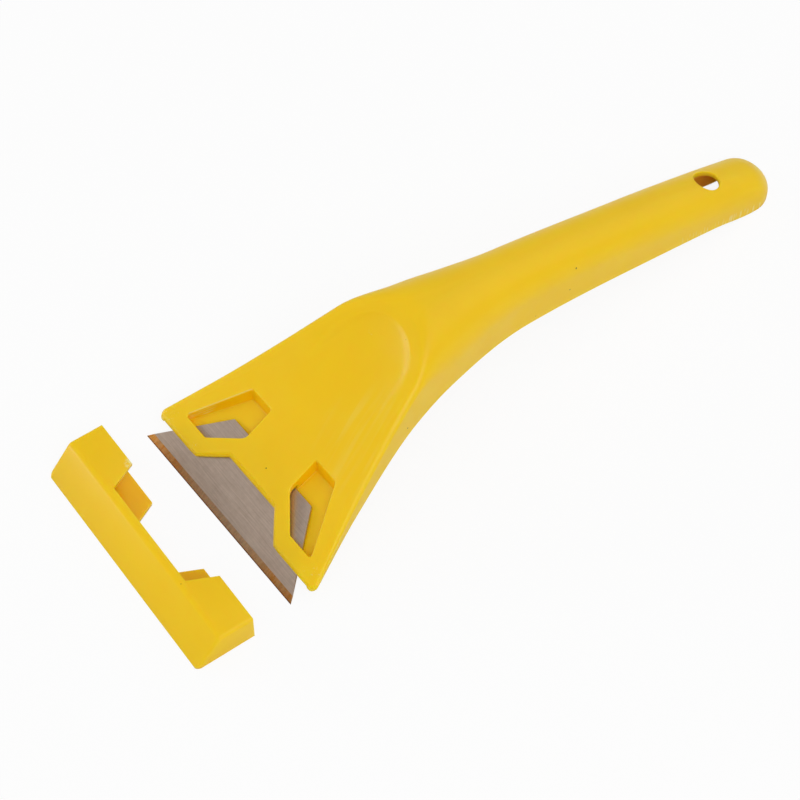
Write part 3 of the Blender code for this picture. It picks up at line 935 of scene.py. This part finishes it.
def linear(text):
    """The scene's linear colour for an sRGB colour written as six hex digits."""
    parts = [int(text[index : index + 2], 16) / 255 for index in (0, 2, 4)]
    bright = [part / 12.92 if part <= 0.04045 else ((part + 0.055) / 1.055) ** 2.4 for part in parts]
    return tuple(bright) + (1,)


def set_inputs(material, node, inputs):
    """Links the inputs of a shader node, or sets them where a plain value is given."""
    for name, value in inputs.items():
        if isinstance(value, bpy.types.NodeSocket):
            material.node_tree.links.new(value, node.inputs[name])
        else:
            node.inputs[name].default_value = value


def add_node(material, kind, inputs, **settings):
    """Adds a shader node with its inputs and settings, and gives its outputs."""
    node = material.node_tree.nodes.new("ShaderNode" + kind)
    for name, value in settings.items():
        setattr(node, name, value)
    set_inputs(material, node, inputs)
    return node.outputs


def start_material(name):
    """A new material, its shader, and the object's coordinates that its patterns follow."""
    material = bpy.data.materials.new(name)
    material.use_nodes = True
    return material, material.node_tree.nodes["Principled BSDF"], add_node(material, "TexCoord", {})


def lay_colour(material, tone, colour, strength, limits=()):
    """Lays a colour over the tone by its strength, from the first limit of each source to its second."""
    amount = strength
    for source, (first, second) in limits:
        inputs = {"Value": source, "From Min": first, "From Max": second}
        share = add_node(material, "MapRange", inputs, interpolation_type="SMOOTHSTEP")["Result"]
        amount = add_node(material, "Math", {0: amount, 1: share}, operation="MULTIPLY")[0]
    return add_node(material, "Mix", {0: amount, 6: tone, 7: colour}, data_type="RGBA")[2]


def lay_patch(material, place, tone, colour, strength, centre, radius, limits):
    """Lays a colour round a point of the tool, full at half the radius and none at the radius."""
    inputs = {0: place, 1: TO_FRAME @ Vector(centre)}
    away = add_node(material, "VectorMath", inputs, operation="DISTANCE")["Value"]
    return lay_colour(material, tone, colour, strength, [(away, (radius, radius / 2))] + limits)


def from_edge(material, place, slope, stretch=(1, 1, 1)):
    """Places from the middle of the cutting edge, level with a slope and drawn out by the stretch."""
    inputs = {"Vector": place, "Location": (MIDDLE, EDGE_LINE, 0)}
    inputs.update({"Rotation": (slope, 0, 0), "Scale": stretch})
    return add_node(material, "Mapping", inputs, vector_type="TEXTURE")[0]


def moulded_plastic(name, colour, deep, shift):
    """Injection-moulded polypropylene: one yellow right through, under a skin that copies a satin mould.

    To the eye it is even and a little waxy, with broad soft highlights, faint clouds of colour from the
    flow of the melt, and here and there a dark speck that was trapped in it.
    """
    material, shader, coordinates = start_material(name)
    place = coordinates["Object"]
    moved = add_node(material, "Mapping", {"Vector": place, "Location": (shift, 0, 0)})[0]
    clouds = add_node(material, "TexNoise", {"Vector": moved, "Scale": CLOUDS / MM})[0]
    tone = lay_colour(material, linear(colour), linear(deep), clouds)
    cells = add_node(material, "TexVoronoi", {"Vector": moved, "Scale": 1 / SPECK_SPACING})
    speck = SPECK_SIZE / SPECK_SPACING
    tone = lay_colour(material, tone, linear(SPECK_COLOUR), 1, [(cells["Distance"], (speck / 2, speck / 3))])
    grain = add_node(material, "TexNoise", {"Vector": place, "Scale": SKIN_GRAIN / MM})[0]
    relief = {"Height": grain, "Strength": SKIN_STRENGTH, "Distance": SKIN_DEPTH}
    patches = add_node(material, "TexNoise", {"Vector": moved, "Scale": GLOSS_PATCHES / MM})[0]
    gloss = {"Value": patches, **GLOSS_RANGE}
    finish = {
        "Normal": add_node(material, "Bump", relief)[0],
        "Roughness": add_node(material, "MapRange", gloss, interpolation_type="SMOOTHSTEP")["Result"],
        "IOR": PLASTIC_IOR,
        "Specular IOR Level": PLASTIC_SHINE,
        "Subsurface Weight": PLASTIC_GLOW,
        "Subsurface Radius": PLASTIC_GLOW_REACH,
        "Subsurface Scale": 1.0,
    }
    set_inputs(material, shader, finish)
    return material, shader, coordinates, tone


def painted_sheen_streaks(material, coordinates, tone):
    """Painted sheen: faint pale streaks on the skin of the plate, right of the scoop, along its right edge.
    """
    place = coordinates["Object"]
    inputs = {"Vector": place, "Rotation": (0, 0, SHEEN_TURN), "Scale": SHEEN_STRETCH}
    along = add_node(material, "Mapping", inputs, vector_type="TEXTURE")[0]
    streaks = add_node(material, "TexNoise", {"Vector": along, "Scale": SHEEN_STREAKS / MM, "Detail": 1.0})
    facing = add_node(material, "SeparateXYZ", {"Vector": coordinates["Normal"]})
    limits = [(streaks[0], SHEEN_LIMITS), (facing["Z"], SHEEN_UPWARD)]
    colour = linear(SHEEN_COLOUR)
    return lay_patch(material, place, tone, colour, SHEEN_STRENGTH, SHEEN_PLACE, SHEEN_LENGTH, limits)


def painted_window_wall_shade(material, coordinates, tone, side):
    """Painted shade: the upright walls of one window, which look back at each other, painted deeper."""
    place = coordinates["Object"]
    normal = coordinates["Normal"]
    across, reach, height = WALL_SHADE_PLACE
    centre = (side * across, reach, height)
    inputs = {0: TO_FRAME @ Vector(centre), 1: place}
    inward = add_node(material, "VectorMath", inputs, operation="SUBTRACT")[0]
    looking = add_node(material, "VectorMath", {0: inward, 1: normal}, operation="DOT_PRODUCT")["Value"]
    facing = add_node(material, "SeparateXYZ", {"Vector": normal})
    limits = [(facing["Z"], WALL_SHADE_UPRIGHT), (looking, WALL_SHADE_INWARD)]
    return lay_patch(material, place, tone, linear(WALL_SHADE_COLOUR), 1, centre, WALL_SHADE_SIZE, limits)


def scuffs(material, coordinates, tone):
    """Pale rubbed spots at the front lobes and in the scoop."""
    place = coordinates["Object"]
    grain = add_node(material, "TexNoise", {"Vector": place, **SCUFF_GRAIN})[0]
    colour = linear(SCUFF_AND_HIGHLIGHT_COLOUR)
    for centre, radius in SCUFFS:
        limits = [(grain, SCUFF_LIMITS)]
        tone = lay_patch(material, place, tone, colour, SCUFF_STRENGTH, centre, radius, limits)
    return tone


def window_scrapes(material, coordinates, tone):
    """Pale scrapes along the outer wall of the left window, near its front corner, even with the plate."""
    place = coordinates["Object"]
    level = from_edge(material, place, PLATE_SLOPE, SCRAPE_STRETCH)
    lines = add_node(material, "TexNoise", {"Vector": level, "Scale": SCRAPE_LINES / MM, "Detail": 1.0})[0]
    facing = add_node(material, "SeparateXYZ", {"Vector": coordinates["Normal"]})
    limits = [(facing["Z"], SCRAPE_UPRIGHT), (lines, SCRAPE_LIMITS)]
    colour = linear(SCUFF_AND_HIGHLIGHT_COLOUR)
    return lay_patch(material, place, tone, colour, SCRAPE_STRENGTH, SCRAPE_PLACE, SCRAPE_LENGTH, limits)


def painted_rim_highlight(material, coordinates, tone):
    """Painted highlight on the outer rim of the left window: found by how its rounding faces and how high it
    is.
    """
    place = coordinates["Object"]
    inputs = {0: coordinates["Normal"], 1: RIM_HIGHLIGHT_FACING}
    facing = add_node(material, "VectorMath", inputs, operation="DOT_PRODUCT")["Value"]
    parts = add_node(material, "SeparateXYZ", {"Vector": from_edge(material, place, PLATE_SLOPE)})
    limits = [(facing, RIM_HIGHLIGHT_LIMITS), (parts["Z"], (RIM_HIGHLIGHT_LEVEL - 2 * WINDOW_LIP, RIM_HIGHLIGHT_LEVEL - 1.5 * WINDOW_LIP))]
    colour = linear(SCUFF_AND_HIGHLIGHT_COLOUR)
    return lay_patch(material, place, tone, colour, RIM_HIGHLIGHT_STRENGTH, RIM_HIGHLIGHT_PLACE, RIM_HIGHLIGHT_LENGTH, limits)


def edge_ticks(material, coordinates, tone):
    """A row of short pale ticks on the right wall of the handle, low down near its end."""
    place = coordinates["Object"]
    parts = add_node(material, "SeparateXYZ", {"Vector": from_edge(material, place, 0)})
    inputs = {0: parts["Y"], 1: TICK_SLOPE, 2: parts["Z"]}
    rise = add_node(material, "Math", inputs, operation="MULTIPLY_ADD")[0]
    foot = TICK_SLOPE * FOOT_REACH
    upright = add_node(material, "Mapping", {"Vector": place, "Scale": TICK_STRETCH})[0]
    grooves = add_node(material, "TexNoise", {"Vector": upright, "Scale": TICKS / MM, "Detail": 1.0})[0]
    limits = [
        (parts["X"], TICK_SIDE),
        (parts["Y"], TICK_START),
        (rise, (foot + TICK_TOP, foot + TICK_FULL)),
        (grooves, TICK_LIMITS),
    ]
    return lay_colour(material, tone, linear(SCUFF_AND_HIGHLIGHT_COLOUR), TICK_STRENGTH, limits)


def painted_hollow_shade(material, coordinates, tone):
    """Painted shade on the inner wall seen through the hole: deeper in colour for the light that stays
    inside.
    """
    place = coordinates["Object"]
    facing = add_node(material, "SeparateXYZ", {"Vector": coordinates["Normal"]})
    parts = add_node(material, "SeparateXYZ", {"Vector": place})
    limits = [(facing["X"], HOLLOW_SHADE_INWARD), (parts["Z"], HOLLOW_SHADE_ROOF)]
    return lay_patch(material, place, tone, linear(HOLLOW_SHADE_COLOUR), 1, HOLLOW_SHADE_PLACE, HOLLOW_SHADE_SIZE, limits)


def holder_plastic():
    """The holder's plastic, with the marks its moulding and use left on it, and painted sheen, shade and
    highlight.
    """
    name = "moulded_polypropylene_holder"
    material, shader, coordinates, tone = moulded_plastic(name, *HOLDER_COLOURS, 0)
    tone = painted_sheen_streaks(material, coordinates, tone)
    # Painted shade on the walls of both windows
    for side in (-1, 1):
        tone = painted_window_wall_shade(material, coordinates, tone, side)
    for marks_and_painted_light in (scuffs, window_scrapes, painted_rim_highlight, edge_ticks, painted_hollow_shade):
        tone = marks_and_painted_light(material, coordinates, tone)
    set_inputs(material, shader, {"Base Color": tone})
    return material


def torn_burr(material, coordinates, tone):
    """The ragged, whitened corner of the guard's left flap."""
    place = coordinates["Object"]
    limits = [(add_node(material, "TexNoise", {"Vector": place, **SCUFF_GRAIN})[0], TORN_LIMITS)]
    colour = linear(SCUFF_AND_HIGHLIGHT_COLOUR)
    return lay_patch(material, place, tone, colour, TORN_STRENGTH, TORN_PLACE, TORN_SIZE, limits)


def painted_tab_shade(material, coordinates, tone):
    """Painted shade on the upper faces of the guard's tabs, which lie in the shade inside it."""
    facing = add_node(material, "SeparateXYZ", {"Vector": coordinates["Normal"]})
    parts = add_node(material, "SeparateXYZ", {"Vector": from_edge(material, coordinates["Object"], 0)})
    limits = [(facing["Z"], TAB_SHADE_UPWARD), (parts["Z"], TAB_SHADE_LOW), (parts["Y"], TAB_SHADE_REAR)]
    return lay_colour(material, tone, linear(TAB_SHADE_COLOUR), 1, limits)


def guard_plastic():
    """The guard's plastic: the same as the holder's, with a torn corner and painted shade on its tabs."""
    name = "moulded_polypropylene_guard"
    material, shader, coordinates, tone = moulded_plastic(name, *GUARD_COLOURS, GUARD_SHIFT)
    for marks_and_painted_light in (torn_burr, painted_tab_shade):
        tone = marks_and_painted_light(material, coordinates, tone)
    set_inputs(material, shader, {"Base Color": tone})
    return material


def steel_face(material, flat, lines):
    """The blade's flat faces: bright and dark rolling lines, and a mottle of dull oxide over them."""
    face = lay_colour(material, linear(STEEL_DARK), linear(STEEL_LIGHT), lines)
    inputs = {"Vector": flat, "Scale": MOTTLE / MM, "Detail": 4.0, "Roughness": 0.65}
    mottle = add_node(material, "TexNoise", inputs)[0]
    return lay_colour(material, face, linear(MOTTLE_COLOUR), MOTTLE_STRENGTH, [(mottle, MOTTLE_LIMITS)])


def steel_bevel(material, place, flat, across):
    """The ground bevel: browned in patches by the heat of grinding, most of all towards its two ends."""
    inputs = {"Vector": flat, "Scale": HEAT_PATCHES / MM, "Detail": 3.0, "Roughness": 0.6}
    heat = {"Value": add_node(material, "TexNoise", inputs)[0], **HEAT_RANGE}
    patches = add_node(material, "MapRange", heat, interpolation_type="SMOOTHSTEP")["Result"]
    brown = lay_colour(material, linear(BROWN_PALE), linear(BROWN_DEEP), patches)
    outward = {"Value": add_node(material, "Math", {0: across}, operation="ABSOLUTE")[0], **BEVEL_ENDS}
    ends = add_node(material, "MapRange", outward, interpolation_type="SMOOTHSTEP")["Result"]
    bevel = lay_colour(material, linear(BEVEL_COLOUR), brown, ends)
    ground = from_edge(material, place, BLADE_SLOPE, GRINDING_STRETCH)
    scratches = add_node(material, "TexNoise", {"Vector": ground, "Scale": GRINDING_LINES / MM})[0]
    limits = [(scratches, GRINDING_LIMITS)]
    return lay_colour(material, bevel, linear(GRINDING_COLOUR), GRINDING_STRENGTH, limits)


def ground_steel():
    """Cold-rolled carbon strip steel with a ground edge.

    To the eye its faces are a warm, satin grey with fine lines along the strip, its bevel is brown from
    the heat of grinding, and the honed edge is a thin dark line.
    """
    material, shader, coordinates = start_material("carbon_strip_steel_ground")
    place = coordinates["Object"]
    flat = from_edge(material, place, BLADE_SLOPE)
    parts = add_node(material, "SeparateXYZ", {"Vector": flat})
    rolled = from_edge(material, place, BLADE_SLOPE, ROLLING_STRETCH)
    lines = add_node(material, "TexNoise", {"Vector": rolled, "Scale": ROLLING_LINES / MM, "Detail": 3.0})[0]
    bevel = steel_bevel(material, place, flat, parts["X"])
    limits = [(parts["Y"], (BLADE_GRIND + GRIND_BLUR, BLADE_GRIND))]
    tone = lay_colour(material, steel_face(material, flat, lines), bevel, 1, limits)
    tone = lay_colour(material, tone, linear(HONE_COLOUR), 1, [(parts["Y"], HONE_LIMITS)])
    relief = {"Height": lines, "Strength": STEEL_STRENGTH, "Distance": STEEL_DEPTH}
    finish = {"Base Color": tone, "Normal": add_node(material, "Bump", relief)[0]}
    finish.update({"Metallic": 1.0, "Roughness": STEEL_ROUGHNESS})
    set_inputs(material, shader, finish)
    return material


def pale_floor():
    """Matt white studio paper: to the eye an even white, lit up for the camera so that it stays white."""
    material, shader, coordinates = start_material("white_studio_paper")
    inputs = {"Vector": coordinates["Object"], "Scale": PAPER_CLOUDS / MM}
    clouds = add_node(material, "TexNoise", inputs)[0]
    tone = lay_colour(material, linear(PAPER_DARK), linear(PAPER_LIGHT), clouds)
    finish = {"Base Color": tone, "Roughness": PAPER_ROUGHNESS, "Specular IOR Level": PAPER_SHINE}
    set_inputs(material, shader, finish)
    seen = add_node(material, "LightPath", {})["Is Camera Ray"]
    amount = add_node(material, "Math", {0: seen, 1: FLOOR_LIFT}, operation="MULTIPLY")[0]
    glow = add_node(material, "Emission", {"Color": linear(WHITE), "Strength": 1.0})[0]
    blend = add_node(material, "MixShader", {0: amount, 1: shader.outputs[0], 2: glow})[0]
    set_inputs(material, material.node_tree.nodes["Material Output"], {"Surface": blend})
    return material


def place_camera():
    """The camera of the photo, fitted to the blade's corners and to points on the other pieces."""
    data = bpy.data.cameras.new("photo_camera")
    data.lens = CAMERA_LENS
    data.sensor_width = CAMERA_SENSOR
    data.clip_start = CAMERA_NEAR
    camera = bpy.data.objects.new("photo_camera", data)
    turn = Matrix.Rotation(CAMERA_TURN, 4, "Z")
    pitch = Matrix.Rotation(math.pi / 2 - CAMERA_PITCH, 4, "X")
    roll = Matrix.Rotation(CAMERA_ROLL, 4, "Z")
    camera.matrix_world = TO_FRAME @ Matrix.Translation(CAMERA_PLACE) @ turn @ pitch @ roll
    bpy.context.scene.collection.objects.link(camera)
    bpy.context.scene.camera = camera


def add_softbox(name, direction, distance, width, height, power):
    """A rectangular lamp that shines at the middle of the frame."""
    data = bpy.data.lights.new(name, "AREA")
    data.shape = "RECTANGLE"
    data.size = width
    data.size_y = height
    data.energy = power
    lamp = bpy.data.objects.new(name, data)
    lamp.location = Vector(direction).normalized() * distance
    lamp.rotation_euler = Vector(direction).to_track_quat("Z", "Y").to_euler()
    bpy.context.scene.collection.objects.link(lamp)


def light_studio():
    """An evenly lit white room with three softboxes."""
    world = bpy.data.worlds.new("grey_room")
    world.use_nodes = True
    background = world.node_tree.nodes["Background"]
    background.inputs["Color"].default_value = linear(WHITE)
    background.inputs["Strength"].default_value = ROOM_LEVEL
    bpy.context.scene.world = world
    for softbox in SOFTBOXES:
        add_softbox(*softbox)


def lay_floor():
    """A wide sheet of paper on the table's plane."""
    bm = bmesh.new()
    bmesh.ops.create_grid(bm, x_segments=2, y_segments=2, size=FLOOR_SIZE)
    floor = make_object("floor", bm)
    floor.data.materials.append(pale_floor())


bpy.context.scene.view_settings.view_transform = "Standard"
make_holder(holder_plastic())
make_blade(ground_steel())
make_guard(guard_plastic())
lay_floor()
place_camera()
light_studio()
